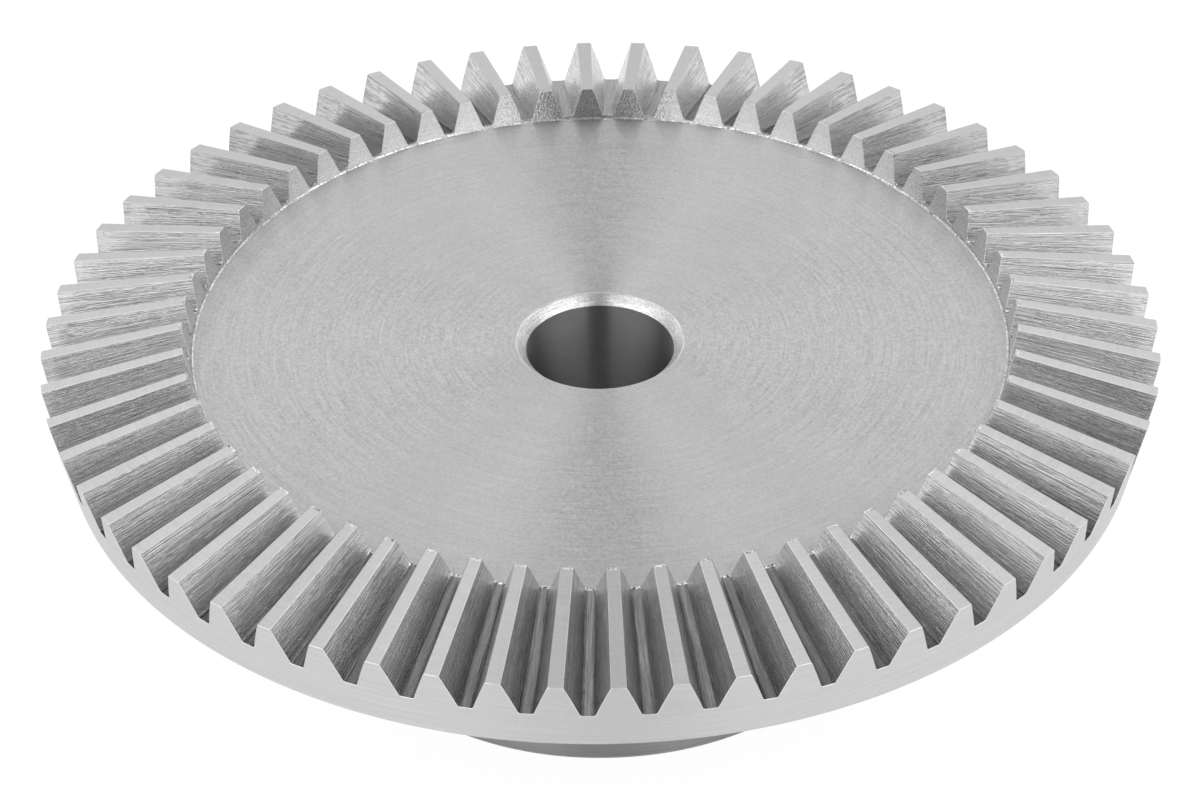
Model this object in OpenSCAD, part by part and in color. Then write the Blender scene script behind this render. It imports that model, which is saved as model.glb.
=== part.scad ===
// Straight bevel gear: one steel blank, turned all over, with straight tapered teeth cut
// in its upper face, a flat plate inside the tooth ring, a plain bore and a hub below.
// The wheel stands on the end of its hub at z = 0, with its axis on Z and its teeth up.

/* [Teeth] */
// Module at the large end of the teeth
module_mm = 2; // [1.5:0.25:2.5]
// Number of teeth
teeth = 60; // [45:1:75]
// Number of teeth of the pinion that it runs with, which sets the pitch cone
mate_teeth = 15; // [12:1:24]
// Pressure angle
pressure_angle = 20; // [14.5:0.5:25]
// Length of a tooth along the pitch cone
face_width = 15.7; // [8:0.1:20]
// Clearance between a tooth's tip and the root of its mate
tip_clearance = 0.5; // [0.2:0.05:0.8]
// Thinning of each tooth, which gives the pair its backlash
backlash = 0.1; // [0:0.02:0.2]
// Radius in the corners of the tooth spaces
root_fillet = 0.3; // [0.1:0.05:0.5]

/* [Plate] */
// Thickness of the plate between its upper face and its underside
plate_t = 8.9; // [6.5:0.1:14]
// How far the plate's upper face lies below the outer tips of the teeth
web_recess = 0.1; // [0:0.1:1]
// Radius where the small ends of the teeth meet the plate
web_fillet = 0.3; // [0.1:0.05:0.6]

/* [Hub] */
// Diameter of the hub
hub_d = 60; // [30:1:90]
// Length of the hub below the plate
hub_len = 25.5; // [5:0.5:40]
// Radius where the hub meets the underside of the plate
hub_fillet = 2; // [0.5:0.5:4]
// Chamfer round the end of the hub
hub_chamfer = 1; // [0.2:0.1:3]

/* [Bore] */
// Diameter of the bore
bore_d = 16; // [8:0.5:25]
// Chamfer at both ends of the bore
bore_chamfer = 1; // [0.3:0.1:2]

/* [Hidden] */
steel = [0.74, 0.74, 0.74];

// Share of the module that a long-and-short addendum system gives the wheel's teeth:
// a fixed part, and a part that falls with the square of the ratio
addendum_base = 0.54;
addendum_ratio = 0.46;

// Pitch cone, in the plane of the axis
pitch_r = module_mm * teeth / 2;
pitch_angle = atan(teeth / mate_teeth);
cone_dist = pitch_r / sin(pitch_angle);

// Tooth heights at the large end. The working depth is two modules
work_depth = 2 * module_mm;
addendum = module_mm * (addendum_base + addendum_ratio * pow(mate_teeth / teeth, 2));
mate_addendum = work_depth - addendum;
dedendum = mate_addendum + tip_clearance;
// The face cone runs parallel to the mate's root cone, so the tip clearance stays even
face_dip = atan((addendum + tip_clearance) / cone_dist);

// Tooth thickness along the pitch circle: half the pitch, less what the longer
// teeth of the mate take, less the backlash
tooth_t = PI * module_mm / 2 - (mate_addendum - addendum) * tan(pressure_angle) - backlash;

// Levels along the axis
under_z = hub_len;
web_z = under_z + plate_t;
tip_z = web_z + web_recess;
pitch_z = tip_z - addendum * sin(pitch_angle);
apex_z = pitch_z + pitch_r / tan(pitch_angle);

// Points of the section of the blank. A point on the pitch cone at the distance s from the
// large end, raised by h square to the cone
function cone_point(s, h) = [
    pitch_r - s * sin(pitch_angle) + h * cos(pitch_angle),
    pitch_z + s * cos(pitch_angle) + h * sin(pitch_angle)
];
outer_tip = cone_point(0, addendum);
inner_tip = cone_point(face_width, addendum - face_width * tan(face_dip));
// Both tooth ends are cones square to the pitch cone: radius of each at the height z
function end_r(tip, z) = tip[0] - (tip[1] - z) / tan(pitch_angle);
rim_r = end_r(outer_tip, under_z);
web_corner_r = end_r(inner_tip, web_z);

// Arc of the radius r round c, from the angle a to the angle b
function arc(c, r, a, b, steps) = [for (i = [0:steps]) let (t = a + (b - a) * i / steps)
    c + r * [cos(t), sin(t)]];
// Straight pieces in each rounded corner of the section, and round the whole blank
arc_steps = 6;
round_steps = 240;

// The corner between the plate and the small ends opens by more than a right angle
web_arc_r = web_corner_r - web_fillet / tan((180 - pitch_angle) / 2);
function blank_section() = concat(
    [[bore_d / 2 + bore_chamfer, 0], [hub_d / 2 - hub_chamfer, 0], [hub_d / 2, hub_chamfer]],
    arc([hub_d / 2 + hub_fillet, under_z - hub_fillet], hub_fillet, 180, 90, arc_steps),
    [[rim_r, under_z], outer_tip, inner_tip],
    arc([web_arc_r, web_z + web_fillet], web_fillet, pitch_angle - 90, -90, arc_steps),
    [[bore_d / 2 + bore_chamfer, web_z], [bore_d / 2, web_z - bore_chamfer],
     [bore_d / 2, bore_chamfer]]
);

// Outline of a tooth space on the back cone, laid out flat: there the wheel has the pitch
// radius of a spur gear of many more teeth, and its flanks are involutes of that gear
back_r = pitch_r / cos(pitch_angle);
base_r = back_r * cos(pressure_angle);
root_r = back_r - dedendum;
// How far the space runs on above the tips, and past both ends of the teeth
overcut = 0.4 * module_mm;
top_r = back_r + addendum + overcut;
function involute(a) = tan(a) * 180 / PI - a;
// Half angle of the space at the radius r
function half_space(r) = (PI * module_mm - tooth_t) / (2 * back_r) * 180 / PI
    - involute(pressure_angle) + involute(acos(base_r / r));
root_angle = acos(base_r / root_r);
root_half_w = half_space(root_r) * PI / 180 * root_r;
fillet_u = root_half_w - root_fillet * (1 - sin(root_angle)) / cos(root_angle);
fillet_top = root_r + root_fillet * (1 - sin(root_angle));
// Straight pieces in each root fillet and in each flank
fillet_steps = 2;
flank_steps = 3;
// One side of the space, from its root to above the tips, as radius and angle
space_side = concat(
    [for (p = arc([fillet_u, root_fillet], root_fillet, -90, -root_angle, fillet_steps))
        [root_r + p[1], p[0] / (root_r + p[1]) * 180 / PI]],
    [for (i = [1:flank_steps]) let (r = fillet_top + (top_r - fillet_top) * i / flank_steps)
        [r, half_space(r)]]
);
n_side = len(space_side);

// The same point on the back cone, measured from the apex of the pitch cone, which all the
// lines of a space run to. side is 1 or -1, and scale shrinks the space towards the apex
function space_point(p, side, scale) = let (turn = side * p[1] / cos(pitch_angle)) scale * [
    p[0] * cos(pitch_angle) * cos(turn),
    p[0] * cos(pitch_angle) * sin(turn),
    pitch_z - apex_z + (p[0] - back_r) * sin(pitch_angle)
];

// One tooth space, as a solid that tapers towards the apex and runs past both tooth ends
module tooth_space() {
    past_end = overcut / cone_dist;
    near = 1 - face_width / cone_dist - past_end;
    far = 1 + past_end;
    points = [for (s = [far, near], side = [1, -1], p = space_side) space_point(p, side, s)];
    // Places of the four rows of points: right and left at the large end, then at the small
    rr = 0;
    rl = n_side;
    sr = 2 * n_side;
    sl = 3 * n_side;
    faces = concat(
        [for (i = [0:n_side - 2]) [rr + i, rl + i, rl + i + 1, rr + i + 1]],
        [for (i = [0:n_side - 2]) [sr + i, sr + i + 1, sl + i + 1, sl + i]],
        [for (i = [0:n_side - 2]) [rr + i, rr + i + 1, sr + i + 1, sr + i]],
        [for (i = [0:n_side - 2]) [rl + i, sl + i, sl + i + 1, rl + i + 1]],
        [[rr, sr, sl, rl],
         [rr + n_side - 1, rl + n_side - 1, sl + n_side - 1, sr + n_side - 1]]
    );
    translate([0, 0, apex_z]) polyhedron(points = points, faces = faces, convexity = 4);
}

// The turned blank, before its teeth are cut
module blank() {
    rotate_extrude($fn = round_steps) polygon(blank_section());
}

// The finished wheel: a tooth stands on +X, with a space to each side of it
module bevel_gear() {
    pitch_turn = 360 / teeth;
    color(steel) difference() {
        blank();
        for (i = [0:teeth - 1]) rotate([0, 0, (i + 0.5) * pitch_turn]) tooth_space();
    }
}

bevel_gear();
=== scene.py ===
import math

import bpy
from mathutils import Matrix, Vector


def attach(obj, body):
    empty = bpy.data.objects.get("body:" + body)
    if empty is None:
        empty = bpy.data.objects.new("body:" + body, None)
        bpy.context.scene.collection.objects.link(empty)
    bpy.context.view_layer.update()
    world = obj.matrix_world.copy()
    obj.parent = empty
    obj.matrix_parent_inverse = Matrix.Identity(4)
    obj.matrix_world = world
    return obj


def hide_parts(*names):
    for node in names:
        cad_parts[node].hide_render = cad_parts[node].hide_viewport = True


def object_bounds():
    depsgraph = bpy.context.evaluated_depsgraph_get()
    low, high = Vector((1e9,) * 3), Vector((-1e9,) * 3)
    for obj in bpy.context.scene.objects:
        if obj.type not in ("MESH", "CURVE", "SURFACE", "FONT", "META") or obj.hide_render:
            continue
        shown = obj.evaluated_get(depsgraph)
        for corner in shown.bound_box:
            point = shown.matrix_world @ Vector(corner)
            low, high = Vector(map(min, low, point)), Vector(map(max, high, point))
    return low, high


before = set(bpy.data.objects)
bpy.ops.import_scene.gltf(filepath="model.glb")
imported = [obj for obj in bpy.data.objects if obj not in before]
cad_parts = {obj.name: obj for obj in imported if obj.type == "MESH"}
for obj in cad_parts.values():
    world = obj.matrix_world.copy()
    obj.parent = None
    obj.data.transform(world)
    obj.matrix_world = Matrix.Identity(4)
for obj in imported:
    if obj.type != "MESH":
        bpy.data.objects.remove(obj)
cad_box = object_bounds()

# Camera
# It looks down on the wheel at the photograph's angle, through a long lens from about
# 0.6 m, and is held almost level. All its distances are in metres.
view_azimuth = math.radians(-1.2718)
view_elevation = math.radians(35.074)
view_distance = 0.60217
view_pan = math.radians(-0.0088)
view_tilt = math.radians(-0.6212)
view_roll = math.radians(-0.8825)
lens_mm = 167.41
sensor_mm = 36
aim_height = 0.0345

camera_data = bpy.data.cameras.new("camera")
camera_data.sensor_width = sensor_mm
camera_data.lens = lens_mm
camera_data.clip_start = 0.01
camera_data.clip_end = 50
camera = bpy.data.objects.new("camera", camera_data)
bpy.context.scene.collection.objects.link(camera)
camera.matrix_world = (
    Matrix.Translation((0, 0, aim_height))
    @ Matrix.Rotation(view_azimuth, 4, "Z")
    @ Matrix.Rotation(math.pi / 2 - view_elevation, 4, "X")
    @ Matrix.Translation((0, 0, view_distance))
    @ Matrix.Rotation(-view_pan, 4, "Y")
    @ Matrix.Rotation(view_tilt, 4, "X")
    @ Matrix.Rotation(view_roll, 4, "Z")
)
bpy.context.scene.camera = camera

# Wheel: its sizes
# The wheel is a single steel blank, turned all over, with straight teeth planed in its upper
# face. The lines of the teeth all run to the apex of the pitch cone. Lengths are in mm.
module = 2.0
teeth = 60
mate_teeth = 15
pressure_angle = math.radians(20)
face_width = 15.7
tip_clearance = 0.5
backlash = 0.1
root_fillet = 0.3
web_recess = 0.1
web_fillet = 0.3
hub_r = 30.0
hub_len = 25.5
hub_fillet = 2.0
hub_chamfer = 1.0
bore_r = 8.0
bore_chamfer = 1.0
# The share of the module that the long-and-short addendum system gives the wheel's teeth
addendum_base = 0.54
addendum_ratio = 0.46
# The rubbed-down edges, which are too small for the solid: along the lands, at both ends of
# the teeth, under the rim, and where the plate meets the bore's chamfer
land_edge = 0.05
end_edge = 0.05
rim_edge = 0.15
plate_edge = 0.1
# The last bit of each slot and land, where the cutter broke out of the steel
torn_end = 0.35

mm = 0.001
pitch_r = module * teeth / 2
pitch_cone = math.atan(teeth / mate_teeth)
cone_dist = pitch_r / math.sin(pitch_cone)
addendum = module * (addendum_base + addendum_ratio * (mate_teeth / teeth) ** 2)
mate_addendum = 2 * module - addendum
face_dip = math.atan((addendum + tip_clearance) / cone_dist)
longer_teeth = (mate_addendum - addendum) * math.tan(pressure_angle)
tooth_t = math.pi * module / 2 - longer_teeth - backlash
half_pitch = math.pi / teeth

# Levels, from the top of the solid, where the tips of the small ends are, downwards
top_z = cad_box[1].z / mm
inner_addendum = addendum - face_width * math.tan(face_dip)
pitch_z = (top_z - face_width * math.cos(pitch_cone)
           - inner_addendum * math.sin(pitch_cone))
web_z = pitch_z + addendum * math.sin(pitch_cone) - web_recess
apex_z = pitch_z + pitch_r / math.tan(pitch_cone)
under_z = hub_len

# Wheel: the outline of a tooth space
# A planing cutter leaves each space with involute flanks and a rounded root. The outline is
# laid out flat on the back cone, where u runs across the space and rho up from its centre.
back_r = pitch_r / math.cos(pitch_cone)
base_r = back_r * math.cos(pressure_angle)
root_r = back_r - mate_addendum - tip_clearance


def half_space(rho):
    """Half angle of the tooth space at the radius rho of the flat layout."""
    open_angle = math.acos(base_r / rho)
    rise = math.tan(open_angle) - open_angle - math.tan(pressure_angle) + pressure_angle
    return (math.pi * module - tooth_t) / (2 * back_r) + rise


def tip_rho(along):
    """Radius of the tip in the flat layout, at a length along the tooth from its large end."""
    return back_r + (addendum - along * math.tan(face_dip)) / (1 - along / cone_dist)


root_open = math.acos(base_r / root_r)
fillet_top = root_r + root_fillet * (1 - math.sin(root_open))
fillet_u = (half_space(root_r) * root_r
            - root_fillet * (1 - math.sin(root_open)) / math.cos(root_open))
# Faces across each stretch of half an outline
root_columns = 3
fillet_columns = 3
flank_columns = 7
land_columns = 3


def half_outline(along):
    """From the middle of a space to the middle of a tooth, as (u, rho, region).

    The region is that of the face between the point and the next one. The foot is the corner
    of the root, which is painted darker than the slot's bottom: painted shade in the corner.
    """
    tip = tip_rho(along)
    edge = land_edge / (1 - along / cone_dist)
    points = []
    for i in range(root_columns):
        region = "foot" if i == root_columns - 1 else "slot"
        points.append((fillet_u * i / root_columns, root_r, region))
    for i in range(fillet_columns + 1):
        turn = -math.pi / 2 + (math.pi / 2 - root_open) * i / fillet_columns
        region = "foot" if i < fillet_columns - 1 else "flank"
        points.append((fillet_u + root_fillet * math.cos(turn),
                       root_r + root_fillet * (1 + math.sin(turn)), region))
    for i in range(1, flank_columns + 1):
        rho = fillet_top + (tip - edge - fillet_top) * i / flank_columns
        region = "land" if i == flank_columns else "flank"
        points.append((half_space(rho) * rho, rho, region))
    land_from = half_space(tip) * tip + edge
    land_to = half_pitch * math.cos(pitch_cone) * tip
    for i in range(land_columns + 1):
        points.append((land_from + (land_to - land_from) * i / land_columns, tip, "land"))
    return points


def outline(along, inset):
    """A whole pitch, from space to space, as (turn, rho), with its edges drawn in by inset."""
    half = half_outline(along)
    inset /= 1 - along / cone_dist
    last = len(half) - 1
    moved = []
    for i, (u, rho, region) in enumerate(half):
        across = 1.0
        up = 0.0
        if 0 < i < last:
            across = half[i + 1][0] - half[i - 1][0]
            up = half[i + 1][1] - half[i - 1][1]
        size = math.hypot(across, up)
        rho -= across / size * inset
        turn = half_pitch - (u + up / size * inset) / rho / math.cos(pitch_cone)
        moved.append((turn, rho))
    moved[0] = (half_pitch, moved[0][1])
    moved[last] = (0.0, moved[last][1])
    return [(-turn, rho) for turn, rho in moved] + moved[-2::-1]


# Wheel: one pitch of it, ring by ring
# The blank was turned to this section: down the bore, out along the hub's end, up the hub, out
# to the rim, up the large ends, along the teeth, and in over the plate. A ring is one pitch.
REGIONS = ["plate", "land", "flank", "foot", "slot", "edge", "large_end", "small_end", "web",
           "burr", "bore", "chamfer", "hub"]
half_regions = [region for u, rho, region in half_outline(0)][:-1]
column_regions = half_regions + half_regions[::-1]
columns = len(column_regions)
coarse_columns = 8
coarse_turns = [half_pitch * (2 * i / coarse_columns - 1) for i in range(coarse_columns + 1)]
coarse_places = [round(columns * i / coarse_columns) for i in range(coarse_columns + 1)]
rings = []


def add_ring(points, region, cut=None):
    """A ring, the region of the faces that follow it, and its points' places on the cut."""
    rings.append({"points": points, "region": region, "cut": cut})


def on_circle(turns, radius, height):
    """Points of a turned edge, at the given turns."""
    return [Vector((radius * math.cos(t), radius * math.sin(t), height)) for t in turns]


def on_cone(turn, rho, along):
    """The flat layout's point in space, at a length along the tooth from its large end."""
    scale = 1 - along / cone_dist
    radius = scale * rho * math.cos(pitch_cone)
    rise = pitch_z - apex_z + (rho - back_r) * math.sin(pitch_cone)
    return Vector((radius * math.cos(turn), radius * math.sin(turn), apex_z + scale * rise))


# Bore, hub and underside
add_ring(on_circle(coarse_turns, bore_r, web_z - bore_chamfer), "bore")
add_ring(on_circle(coarse_turns, bore_r, bore_chamfer), "chamfer")
add_ring(on_circle(coarse_turns, bore_r + bore_chamfer, 0), "hub")
add_ring(on_circle(coarse_turns, hub_r - hub_chamfer, 0), "chamfer")
add_ring(on_circle(coarse_turns, hub_r, hub_chamfer), "hub")
hub_fillet_steps = 6
for i in range(hub_fillet_steps + 1):
    turn = math.pi - math.pi / 2 * i / hub_fillet_steps
    radius = hub_r + hub_fillet * (1 + math.cos(turn))
    height = under_z + hub_fillet * (math.sin(turn) - 1)
    add_ring(on_circle(coarse_turns, radius, height), "hub")

# Rim and large ends of the teeth
rim_rho = back_r + (under_z - pitch_z) / math.sin(pitch_cone)
rim_r = rim_rho * math.cos(pitch_cone)
large_turns = [turn for turn, rho in outline(0, end_edge)]
add_ring(on_circle(coarse_turns, rim_r - 3 * rim_edge, under_z), "hub")
add_ring(on_circle(large_turns, rim_r - rim_edge, under_z), "chamfer")
add_ring([on_cone(turn, rim_rho + rim_edge, 0) for turn in large_turns], "large_end")
below_root = 0.5
add_ring([on_cone(turn, root_r - below_root, 0) for turn in large_turns], "large_end")

# The teeth. across_cut is how far each point lies across the cut, from the middle of a tooth
half = half_outline(0)
from_space = [0.0]
for a, b in zip(half, half[1:]):
    from_space.append(from_space[-1] + math.hypot(b[0] - a[0], b[1] - a[1]))
half_cut = from_space[-1]
across_cut = [half_cut - place for place in from_space]
across_cut += [place - half_cut for place in reversed(from_space[:-1])]

length_rows = 24
row_length = (face_width - torn_end - end_edge) / length_rows
stations = [(0, end_edge, "edge")]
for i in range(length_rows):
    stations.append((end_edge + row_length * i, 0, "tooth"))
stations.append((face_width - torn_end, 0, "break_out"))
stations.append((face_width - end_edge, 0, "inner_edge"))
stations.append((face_width, end_edge, "small_end"))
for along, inset, region in stations:
    points = [on_cone(turn, rho, along) for turn, rho in outline(along, inset)]
    add_ring(points, region, [(across, along) for across in across_cut])

# Plate, from the fillet at the small ends to the mouth of the bore
small_turns = [turn for turn, rho in outline(face_width, end_edge)]
small_scale = 1 - face_width / cone_dist
inner_tip_r = tip_rho(face_width) * small_scale * math.cos(pitch_cone)
web_corner_r = inner_tip_r - (top_z - web_z) / math.tan(pitch_cone)
web_arc_r = web_corner_r - web_fillet / math.tan((math.pi - pitch_cone) / 2)
web_fillet_steps = 4
for i in range(web_fillet_steps + 1):
    turn = pitch_cone - math.pi / 2 - pitch_cone * i / web_fillet_steps
    radius = web_arc_r + web_fillet * math.cos(turn)
    height = web_z + web_fillet * (1 + math.sin(turn))
    region = "plate" if i == web_fillet_steps else "web"
    add_ring(on_circle(small_turns, radius, height), region)
beside_web = 0.05
plate_rings = (web_arc_r - 1.5, 30, 18)
add_ring(on_circle(small_turns, web_arc_r - beside_web, web_z), "plate")
for radius in plate_rings:
    add_ring(on_circle(coarse_turns, radius, web_z), "plate")
mouth_r = bore_r + bore_chamfer
add_ring(on_circle(coarse_turns, mouth_r + plate_edge, web_z), "chamfer")
add_ring(on_circle(coarse_turns, mouth_r - plate_edge / 2, web_z - plate_edge / 2), "chamfer")

# What becomes of the outline's regions along the teeth and at their small ends
ALONG_TEETH = {
    "tooth": {},
    "break_out": {"slot": "burr", "foot": "burr", "land": "web"},
    "inner_edge": {"land": "edge"},
}


def corners(ring, other):
    """The points of a ring at which the faces between it and the other ring begin and end."""
    if len(ring["points"]) > len(other["points"]):
        return coarse_places
    return range(len(ring["points"]))


vertices = []
cuts = []
for ring in rings:
    ring["first"] = len(vertices)
    vertices += [point * mm for point in ring["points"]]
    cuts += ring["cut"] or [(0, 0)] * len(ring["points"])
faces = []
face_regions = []
for ring, after in zip(rings, rings[1:] + rings[:1]):
    here = corners(ring, after)
    there = corners(after, ring)
    for j in range(len(here) - 1):
        row = [ring["first"] + k for k in range(here[j], here[j + 1] + 1)]
        row += [after["first"] + k for k in range(there[j + 1], there[j] - 1, -1)]
        faces.append(row)
        region = ring["region"]
        if region in ALONG_TEETH:
            own = column_regions[j]
            region = ALONG_TEETH[region].get(own, own)
        face_regions.append(region)

pitch_mesh = bpy.data.meshes.new("tooth_sector")
pitch_mesh.from_pydata(vertices, [], faces)
region_values = pitch_mesh.attributes.new("region", "INT", "FACE")
region_values.data.foreach_set("value", [REGIONS.index(region) for region in face_regions])
cut_map = pitch_mesh.uv_layers.new(name="cut")
for loop in pitch_mesh.loops:
    cut_map.data[loop.index].uv = cuts[loop.vertex_index]
wheel = bpy.data.objects.new("bevel_gear_wheel", pitch_mesh)
bpy.context.scene.collection.objects.link(wheel)

# Wheel: the marks of the tools
# The steel is bare. A lathe left rings on the plate, lands, rim, bore and hub, and the
# planing cutter left strokes along the flanks and the slots. Two node groups make them.
FLOAT = "NodeSocketFloat"
VECTOR = "NodeSocketVector"


def new_group(name, kind, inputs, outputs):
    """An empty node group with its sockets. Each input is (name, kind, default)."""
    tree = bpy.data.node_groups.new(name, kind)
    for label, socket_kind, default in inputs:
        socket = tree.interface.new_socket(label, in_out="INPUT", socket_type=socket_kind)
        if default is not None:
            socket.default_value = default
    for label, socket_kind in outputs:
        tree.interface.new_socket(label, in_out="OUTPUT", socket_type=socket_kind)
    return tree, tree.nodes.new("NodeGroupInput").outputs, tree.nodes.new("NodeGroupOutput").inputs


def put(tree, kind, values=None, **settings):
    """A node with its settings. values maps an input's name or place to a value or socket."""
    node = tree.nodes.new(kind)
    for key, value in settings.items():
        setattr(node, key, value)
    for key, value in (values or {}).items():
        if isinstance(value, bpy.types.NodeSocket):
            tree.links.new(value, node.inputs[key])
        else:
            node.inputs[key].default_value = value
    return node


def calc(tree, operation, a, b=0.0, c=0.0, clamp=False):
    """The result of a Math node."""
    node = put(tree, "ShaderNodeMath", {0: a, 1: b, 2: c}, operation=operation,
               use_clamp=clamp)
    return node.outputs[0]


def vector_calc(tree, operation, a, b=(0, 0, 0)):
    """The Vector Math node itself, since some of its results are values."""
    return put(tree, "ShaderNodeVectorMath", {0: a, 1: b}, operation=operation)


def window(tree, value, low, high, to_low, to_high):
    """value taken from one range to another, and held at its ends."""
    node = put(tree, "ShaderNodeMapRange", {"Value": value, "From Min": low, "From Max": high,
                                            "To Min": to_low, "To Max": to_high})
    return node.outputs[0]


def turned_marks_group():
    """Rings that a lathe leaves: fine grooves round the axis, uneven in depth and spacing."""
    # How much more height counts than radius, so that steep faces get finer rings
    climb = 1.7
    tree, given, result = new_group(
        "turned_marks", "ShaderNodeTree",
        [("Position", VECTOR, (0, 0, 0)), ("Pitch mm", FLOAT, 0.2),
         ("Arcs", FLOAT, 3.0), ("Depth mm", FLOAT, 0.002), ("Grain mm", FLOAT, 0.2),
         ("Grain Depth mm", FLOAT, 0.001), ("Grain Tone", FLOAT, 0.2)],
        [("Height mm", FLOAT), ("Tone", FLOAT)])
    flat = vector_calc(tree, "MULTIPLY", given["Position"], (1 / mm, 1 / mm, 0)).outputs[0]
    radius = vector_calc(tree, "LENGTH", flat).outputs["Value"]
    direction = vector_calc(tree, "NORMALIZE", flat).outputs[0]
    split = put(tree, "ShaderNodeSeparateXYZ", {0: given["Position"]})
    across = calc(tree, "ADD", radius, calc(tree, "MULTIPLY", split.outputs["Z"], climb / mm))
    number = calc(tree, "DIVIDE", across, given["Pitch mm"])
    around = put(tree, "ShaderNodeVectorMath", {0: direction, 3: given["Arcs"]},
                 operation="SCALE")
    lift = put(tree, "ShaderNodeCombineXYZ", {"Z": number})
    place = vector_calc(tree, "ADD", around.outputs[0], lift.outputs[0]).outputs[0]
    grooves = put(tree, "ShaderNodeTexNoise", {"Vector": place, "Scale": 1.0, "Detail": 2.0,
                                               "Roughness": 0.6}).outputs[0]
    grain_scale = calc(tree, "DIVIDE", 1 / mm, given["Grain mm"])
    grain = put(tree, "ShaderNodeTexNoise", {"Vector": given["Position"],
                                             "Scale": grain_scale, "Detail": 2.0}).outputs[0]
    deep = calc(tree, "MULTIPLY", grooves, given["Depth mm"])
    rough = calc(tree, "MULTIPLY", grain, given["Grain Depth mm"])
    speckle = calc(tree, "MULTIPLY", calc(tree, "SUBTRACT", grain, 0.5), given["Grain Tone"])
    tree.links.new(calc(tree, "ADD", deep, rough), result["Height mm"])
    tree.links.new(calc(tree, "ADD", grooves, speckle), result["Tone"])
    return tree


def stroke_marks_group():
    """Marks of a planing cutter: streaks from end to end, thin scored lines, torn patches."""
    # Sizes in mm, across the cut and along it. The strokes wander across it a little
    wander = 0.12
    wander_size = (2.5, 7.0)
    patch_size = (1.6, 4.0)
    chip_size = (0.15, 0.8)
    scored_sizes = ((0.6, 60.0), (0.3, 24.0))
    break_mm = 2.5
    # The noise swings about 0.5. These say from where to where it counts, and as how much
    patch_window = (0.48, 0.6, 0.25, 1.0)
    chip_window = (0.52, 0.62, 0.0, 1.0)
    break_window = (0.42, 0.5, 0.0, 1.0)
    # How far from 0.5 the noise may be on a scored line, for each of the two kinds
    line_widths = (0.04, 0.06)
    # How far apart two teeth lie in the noise
    tooth_step = 5.7
    tree, given, result = new_group(
        "stroke_marks", "ShaderNodeTree",
        [("Cut", VECTOR, (0, 0, 0)), ("Position", VECTOR, (0, 0, 0)),
         ("Teeth", FLOAT, 60.0), ("Spacing mm", FLOAT, 0.14), ("Run mm", FLOAT, 5.0),
         ("Depth mm", FLOAT, 0.03), ("Lines", FLOAT, 0.25), ("Tears", FLOAT, 1.0)],
        [("Height mm", FLOAT), ("Tone", FLOAT)])
    split = put(tree, "ShaderNodeSeparateXYZ", {0: given["Position"]})
    angle = calc(tree, "ARCTAN2", split.outputs["Y"], split.outputs["X"])
    turn = calc(tree, "MULTIPLY", angle, calc(tree, "DIVIDE", given["Teeth"], math.tau))
    number = calc(tree, "MULTIPLY", calc(tree, "ROUND", turn), tooth_step)
    cut = put(tree, "ShaderNodeSeparateXYZ", {0: given["Cut"]})

    def field(across, across_mm, along_mm, detail=1.0, rough=0.6):
        """Noise over the cut, with features of about the given sizes."""
        place = put(tree, "ShaderNodeCombineXYZ",
                    {"X": calc(tree, "DIVIDE", across, across_mm),
                     "Y": calc(tree, "DIVIDE", cut.outputs["Y"], along_mm), "Z": number})
        return put(tree, "ShaderNodeTexNoise", {"Vector": place.outputs[0], "Scale": 1.0,
                                                "Detail": detail, "Roughness": rough}).outputs[0]

    swerve = field(cut.outputs["X"], *wander_size)
    wavy = calc(tree, "MULTIPLY_ADD", swerve, wander, cut.outputs["X"])
    streaks = field(wavy, given["Spacing mm"], given["Run mm"], 4.0, 0.75)
    patches = window(tree, field(wavy, *patch_size), *patch_window)
    chips = window(tree, field(wavy, *chip_size), *chip_window)
    torn = calc(tree, "MULTIPLY", calc(tree, "MULTIPLY", chips, patches), given["Tears"])
    lines = 0.0
    for (across_mm, along_mm), width in zip(scored_sizes, line_widths):
        off_line = calc(tree, "SUBTRACT", field(wavy, across_mm, along_mm), 0.5)
        line = window(tree, calc(tree, "ABSOLUTE", off_line), 0.0, width, 1.0, 0.0)
        breaks = window(tree, field(wavy, across_mm, break_mm), *break_window)
        lines = calc(tree, "ADD", calc(tree, "MULTIPLY", line, breaks), lines)
    # The scored lines are real grooves in the height, and in the tone they are painted darker:
    # painted shade in the grooves
    scored = calc(tree, "MULTIPLY", lines, given["Lines"])
    level = calc(tree, "SUBTRACT", calc(tree, "SUBTRACT", streaks, torn), scored)
    height = calc(tree, "MULTIPLY", level, given["Depth mm"])
    tree.links.new(height, result["Height mm"])
    tree.links.new(level, result["Tone"])
    return tree


turned_marks = turned_marks_group()
stroke_marks = stroke_marks_group()
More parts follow.
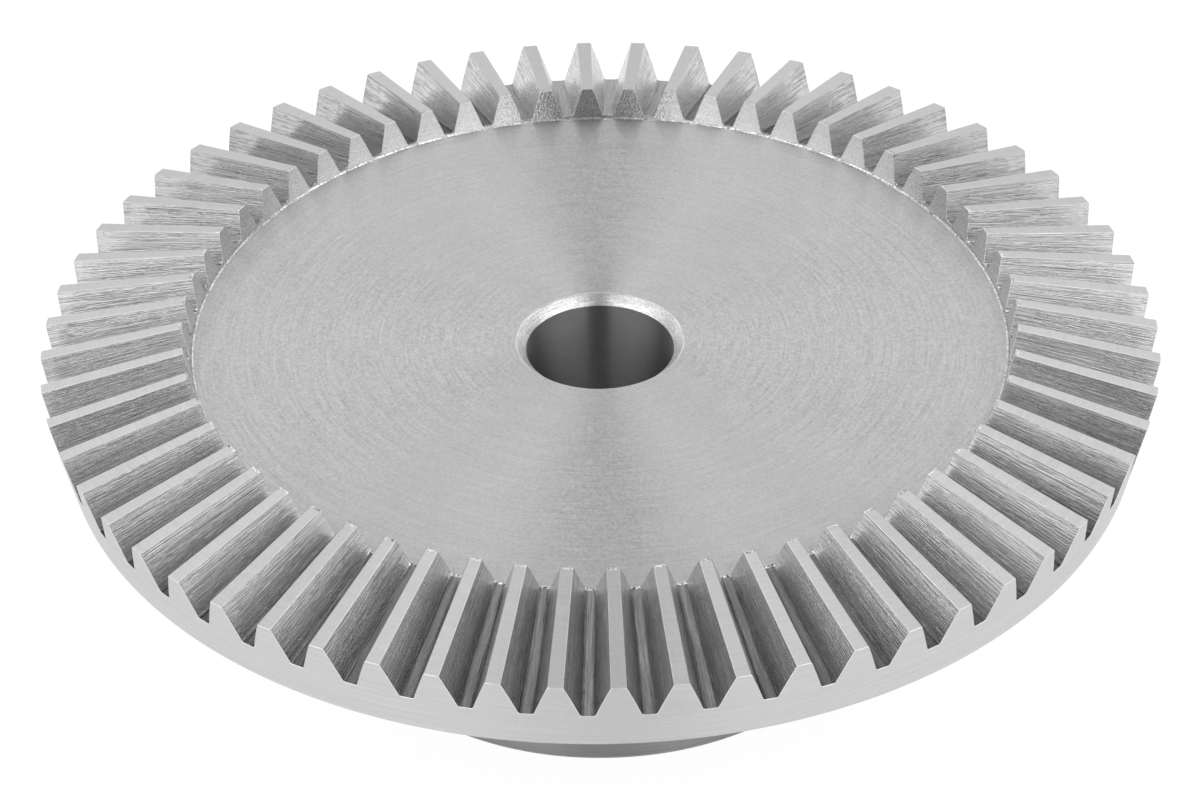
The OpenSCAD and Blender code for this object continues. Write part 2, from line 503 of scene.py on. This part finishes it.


# Wheel: its finishes
# The same bare steel all over, as each tool left it: dull where it was faced, glossy where it
# was planed or reamed, bright on rubbed edges, speckled where it tore. The roots and the hub
# are given darker greys, which are painted shade.
def steel(name, marks, sizes, grey, roughness, anisotropy, tone_swing=0.2, rough_swing=0.25):
    """Bare steel with one kind of tool marks. sizes are the marks' own inputs."""
    material = bpy.data.materials.new(name)
    material.use_nodes = True
    tree = material.node_tree
    shader = tree.nodes["Principled BSDF"]
    shader.inputs["Metallic"].default_value = 1.0
    shader.inputs["Anisotropic"].default_value = anisotropy
    coordinates = put(tree, "ShaderNodeTexCoord")
    group = put(tree, "ShaderNodeGroup", {"Position": coordinates.outputs["Object"], **sizes},
                node_tree=marks)
    tone = calc(tree, "MULTIPLY_ADD", group.outputs["Tone"], tone_swing, grey - tone_swing / 2,
                clamp=True)
    tree.links.new(tone, shader.inputs["Base Color"])
    rough = calc(tree, "MULTIPLY_ADD", group.outputs["Tone"], -rough_swing,
                 roughness + rough_swing / 2, clamp=True)
    tree.links.new(rough, shader.inputs["Roughness"])
    bump = put(tree, "ShaderNodeBump", {"Height": group.outputs["Height mm"], "Distance": mm})
    tree.links.new(bump.outputs[0], shader.inputs["Normal"])
    if marks == turned_marks:
        # A quarter turn lays the stretched highlight across the rings
        tangent = put(tree, "ShaderNodeTangent", direction_type="RADIAL", axis="Z")
        shader.inputs["Anisotropic Rotation"].default_value = 0.25
    else:
        cut = put(tree, "ShaderNodeUVMap", uv_map="cut")
        tree.links.new(cut.outputs["UV"], group.inputs["Cut"])
        tangent = put(tree, "ShaderNodeTangent", direction_type="UV_MAP", uv_map="cut")
    tree.links.new(tangent.outputs[0], shader.inputs["Tangent"])
    return material


FINISHES = {
    "plate": steel(
        "turned_plate_steel", turned_marks,
        {"Pitch mm": 0.16, "Arcs": 4.0, "Depth mm": 0.0007, "Grain mm": 0.3, "Grain Tone": 1.2},
        grey=0.49, roughness=0.42, anisotropy=0.93, tone_swing=0.1),
    "land": steel(
        "turned_land_steel", turned_marks,
        {"Pitch mm": 0.2, "Arcs": 4.0, "Depth mm": 0.0006, "Grain mm": 0.2, "Grain Tone": 1.2},
        grey=0.57, roughness=0.4, anisotropy=0.9, tone_swing=0.1, rough_swing=0.1),
    "flank": steel(
        "planed_flank_steel", stroke_marks,
        {"Teeth": teeth, "Spacing mm": 0.2, "Run mm": 12.0, "Depth mm": 0.045, "Lines": 0.45,
         "Tears": 0.25},
        grey=0.62, roughness=0.18, anisotropy=1.0, tone_swing=0.4, rough_swing=0.15),
    # The foot's dark grey is painted shade in the corner of the root
    "foot": steel(
        "planed_foot_steel_painted_shade", stroke_marks,
        {"Teeth": teeth, "Spacing mm": 0.3, "Depth mm": 0.01, "Lines": 0.2, "Tears": 0.1},
        grey=0.27, roughness=0.25, anisotropy=1.0, tone_swing=0.5),
    # The slot's dark grey is painted shade at the bottom of the tooth space
    "slot": steel(
        "planed_slot_steel_painted_shade", stroke_marks,
        {"Teeth": teeth, "Spacing mm": 0.3, "Depth mm": 0.004, "Lines": 0.1, "Tears": 0.1},
        grey=0.33, roughness=0.27, anisotropy=0.95, tone_swing=0.25),
    "edge": steel(
        "rubbed_edge_steel", turned_marks,
        {"Pitch mm": 0.5, "Arcs": 30.0, "Depth mm": 0.001, "Grain mm": 0.6, "Grain Tone": 1.0},
        grey=0.8, roughness=0.45, anisotropy=0.2),
    "large_end": steel(
        "turned_rim_steel", turned_marks,
        {"Pitch mm": 0.2, "Arcs": 4.0, "Depth mm": 0.001, "Grain mm": 0.15, "Grain Tone": 0.5},
        grey=0.62, roughness=0.4, anisotropy=0.9),
    "small_end": steel(
        "turned_small_end_steel", turned_marks,
        {"Pitch mm": 0.3, "Arcs": 4.0, "Depth mm": 0.001, "Grain mm": 0.2,
         "Grain Depth mm": 0.03, "Grain Tone": 1.2},
        grey=0.66, roughness=0.26, anisotropy=1.0, tone_swing=0.4),
    "web": steel(
        "turned_web_steel", turned_marks,
        {"Pitch mm": 0.3, "Arcs": 30.0, "Depth mm": 0.004, "Grain mm": 0.2,
         "Grain Depth mm": 0.02, "Grain Tone": 1.8},
        grey=0.54, roughness=0.35, anisotropy=0.5, tone_swing=0.8),
    "burr": steel(
        "burred_steel", turned_marks,
        {"Pitch mm": 0.3, "Arcs": 30.0, "Depth mm": 0.004, "Grain mm": 0.25,
         "Grain Depth mm": 0.04, "Grain Tone": 2.5},
        grey=0.58, roughness=0.3, anisotropy=0.3, tone_swing=1.4),
    "bore": steel(
        "reamed_bore_steel", turned_marks,
        {"Pitch mm": 0.25, "Arcs": 3.0, "Depth mm": 0.001},
        grey=0.5, roughness=0.3, anisotropy=1.0, rough_swing=0.1),
    "chamfer": steel(
        "turned_chamfer_steel", turned_marks,
        {"Pitch mm": 0.14, "Arcs": 4.0, "Depth mm": 0.004, "Grain mm": 0.2,
         "Grain Depth mm": 0.01, "Grain Tone": 0.7},
        grey=0.65, roughness=0.38, anisotropy=0.7, tone_swing=0.9),
    # The hub's grey, darker than the rim's turned steel, is painted shade under the rim
    "hub": steel(
        "turned_hub_steel_painted_shade", turned_marks,
        {"Pitch mm": 0.3, "Arcs": 4.0, "Depth mm": 0.001},
        grey=0.46, roughness=0.36, anisotropy=0.9),
}

# Wheel: all its pitches
# The wheel is one piece of steel, so its sixty pitches are turned about the axis and welded
# to each other. Each face then gets the finish of its region.
weld_distance = 1e-6
sharp_angle = math.radians(30)

wheel_tree, given, result = new_group(
    "wheel_of_teeth", "GeometryNodeTree",
    [("Geometry", "NodeSocketGeometry", None), ("Teeth", "NodeSocketInt", 60),
     ("Weld", FLOAT, 1e-6)],
    [("Geometry", "NodeSocketGeometry")])
centres = put(wheel_tree, "GeometryNodeMeshLine",
              {"Count": given["Teeth"], "Offset": (0, 0, 0)}, mode="OFFSET")
tooth_number = put(wheel_tree, "GeometryNodeInputIndex").outputs[0]
pitch_turn = calc(wheel_tree, "DIVIDE", math.tau, given["Teeth"])
tooth_turn = calc(wheel_tree, "MULTIPLY", tooth_number, pitch_turn)
rotation = put(wheel_tree, "ShaderNodeCombineXYZ", {"Z": tooth_turn})
copies = put(wheel_tree, "GeometryNodeInstanceOnPoints",
             {"Points": centres.outputs["Mesh"], "Instance": given["Geometry"],
              "Rotation": rotation.outputs[0]})
realized = put(wheel_tree, "GeometryNodeRealizeInstances", {"Geometry": copies.outputs[0]})
welded = put(wheel_tree, "GeometryNodeMergeByDistance",
             {"Geometry": realized.outputs[0], "Distance": given["Weld"]})
smooth = put(wheel_tree, "GeometryNodeSetShadeSmooth", {"Geometry": welded.outputs[0]})
shape = smooth.outputs[0]
region_of = put(wheel_tree, "GeometryNodeInputNamedAttribute", {"Name": "region"},
                data_type="INT")
for number, region in enumerate(REGIONS):
    chosen = put(wheel_tree, "FunctionNodeCompare", {2: region_of.outputs[0], 3: number},
                 data_type="INT", operation="EQUAL")
    finished = put(wheel_tree, "GeometryNodeSetMaterial",
                   {"Geometry": shape, "Selection": chosen.outputs[0],
                    "Material": FINISHES[region]})
    shape = finished.outputs[0]
wheel_tree.links.new(shape, result["Geometry"])

maker = wheel.modifiers.new("wheel_of_teeth", "NODES")
maker.node_group = wheel_tree
sockets = {item.name: item.identifier for item in wheel_tree.interface.items_tree}
maker[sockets["Teeth"]] = teeth
maker[sockets["Weld"]] = weld_distance
graph = bpy.context.evaluated_depsgraph_get()
made = bpy.data.meshes.new_from_object(wheel.evaluated_get(graph), depsgraph=graph)
wheel.modifiers.clear()
wheel.data = made
made.name = "bevel_gear_wheel"
made.set_sharp_from_angle(angle=sharp_angle)

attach(wheel, "root")
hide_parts("bevel_gear")

# Floor
# A sheet of plain white paper under the wheel, which runs on past the picture's edges. What
# the camera and the steel see of it is white, and it keeps the wheel's faint shadow.
floor_half = 5
floor_white = 0.8
glow_strength = 1.07
glow_share = 0.88

floor_mesh = bpy.data.meshes.new("floor")
floor_corners = [(-floor_half, -floor_half, 0), (floor_half, -floor_half, 0),
                 (floor_half, floor_half, 0), (-floor_half, floor_half, 0)]
floor_mesh.from_pydata(floor_corners, [], [(0, 1, 2, 3)])
floor = bpy.data.objects.new("floor", floor_mesh)
bpy.context.scene.collection.objects.link(floor)
paper = bpy.data.materials.new("paper_floor")
paper.use_nodes = True
tree = paper.node_tree
tree.nodes.clear()
diffuse = put(tree, "ShaderNodeBsdfDiffuse", {"Color": (floor_white, floor_white, floor_white, 1)})
glow = put(tree, "ShaderNodeEmission", {"Color": (1, 1, 1, 1), "Strength": glow_strength})
rays = put(tree, "ShaderNodeLightPath").outputs
mirrored = calc(tree, "MAXIMUM", rays["Is Glossy Ray"], rays["Is Transmission Ray"])
seen = calc(tree, "MAXIMUM", rays["Is Camera Ray"], mirrored)
# Painted shadow: the paper the steel mirrors stays dull under the wheel, clearing from the hub out
coordinates = put(tree, "ShaderNodeTexCoord")
radius = vector_calc(tree, "LENGTH", coordinates.outputs["Object"]).outputs["Value"]
clear = window(tree, radius, hub_r * mm, pitch_r * mm, 0.0, 1.0)
share_outside_painted_shadow = calc(tree, "MAXIMUM", clear, rays["Is Camera Ray"])
share = calc(tree, "MULTIPLY", calc(tree, "MULTIPLY", seen, share_outside_painted_shadow), glow_share)
mix = put(tree, "ShaderNodeMixShader", {0: share, 1: diffuse.outputs[0], 2: glow.outputs[0]})
put(tree, "ShaderNodeOutputMaterial", {"Surface": mix.outputs[0]})
paper.cycles.emission_sampling = "NONE"
floor_mesh.materials.append(paper)

# Studio
# A white room for photographing metal, painted on the world: soft lamps left and right, a
# dim ceiling with a light at the back, and a dark gap in front, where the camera stands.
panel, given, result = new_group(
    "studio_panel", "ShaderNodeTree",
    [("Azimuth", FLOAT, 0.0), ("Elevation", FLOAT, 0.0), ("Level", FLOAT, 1.0),
     ("Centre", FLOAT, 270.0), ("Half Width", FLOAT, 30.0), ("Low", FLOAT, 0.0),
     ("High", FLOAT, 90.0), ("Edge", FLOAT, 2.0), ("New Level", FLOAT, 1.0)],
    [("Level", FLOAT)])


def inside(place, limit, grows):
    """1 on one side of the limit and 0 on the other, with a soft edge between them."""
    soft = put(panel, "ShaderNodeMapRange",
               {"Value": place, "From Min": calc(panel, "SUBTRACT", limit, given["Edge"]),
                "From Max": calc(panel, "ADD", limit, given["Edge"]),
                "To Min": 0.0 if grows else 1.0, "To Max": 1.0 if grows else 0.0},
               interpolation_type="SMOOTHSTEP")
    return soft.outputs[0]


off_centre = calc(panel, "WRAP", calc(panel, "SUBTRACT", given["Azimuth"], given["Centre"]),
                  180, -180)
across = inside(calc(panel, "ABSOLUTE", off_centre), given["Half Width"], False)
above = inside(given["Elevation"], given["Low"], True)
below = inside(given["Elevation"], given["High"], False)
cover = calc(panel, "MULTIPLY", across, calc(panel, "MULTIPLY", above, below))
blend = window(panel, cover, 0.0, 1.0, given["Level"], given["New Level"])
panel.links.new(blend, result["Level"])

wall_level = 1.25
# Name, middle, half width, low edge, high edge and level of each panel, angles in degrees
STUDIO = [
    ("ceiling", 270, 200, 54, 100, 0.08),
    ("low_band", 270, 200, -10, 14, 0.25),
    ("left_side", 162, 18, -10, 32, 0.45),
    ("right_side", 18, 18, -10, 32, 0.45),
    ("left_lamp", 206, 33, 12, 72, 2.0),
    ("right_lamp", 334, 33, 12, 72, 2.0),
    ("back_lamp", 90, 30, 50, 74, 1.5),
    ("front_wings", 270, 32, -4, 76, 1.6),
    ("front_gap", 270, 17, -10, 76, 0.15),
]
world = bpy.data.worlds.new("studio")
bpy.context.scene.world = world
world.use_nodes = True
tree = world.node_tree
where = put(tree, "ShaderNodeTexCoord")
split = put(tree, "ShaderNodeSeparateXYZ", {0: where.outputs["Generated"]}).outputs
degrees = math.degrees(1)
azimuth = calc(tree, "MULTIPLY", calc(tree, "ARCTAN2", split["Y"], split["X"]), degrees)
elevation = calc(tree, "MULTIPLY", calc(tree, "ARCSINE", split["Z"]), degrees)
level = wall_level
for name, centre, half_width, low, high, new_level in STUDIO:
    node = put(tree, "ShaderNodeGroup",
               {"Azimuth": azimuth, "Elevation": elevation, "Level": level, "Centre": centre,
                "Half Width": half_width, "Low": low, "High": high, "New Level": new_level},
               node_tree=panel, name=name, label=name)
    level = node.outputs["Level"]
# The camera itself sees plain white beyond the floor
rays = put(tree, "ShaderNodeLightPath").outputs
shown = window(tree, rays["Is Camera Ray"], 0.0, 1.0, level, 1.0)
background = tree.nodes["Background"]
background.inputs["Color"].default_value = (1, 1, 1, 1)
tree.links.new(shown, background.inputs["Strength"])

bpy.context.scene.view_settings.view_transform = "Standard"
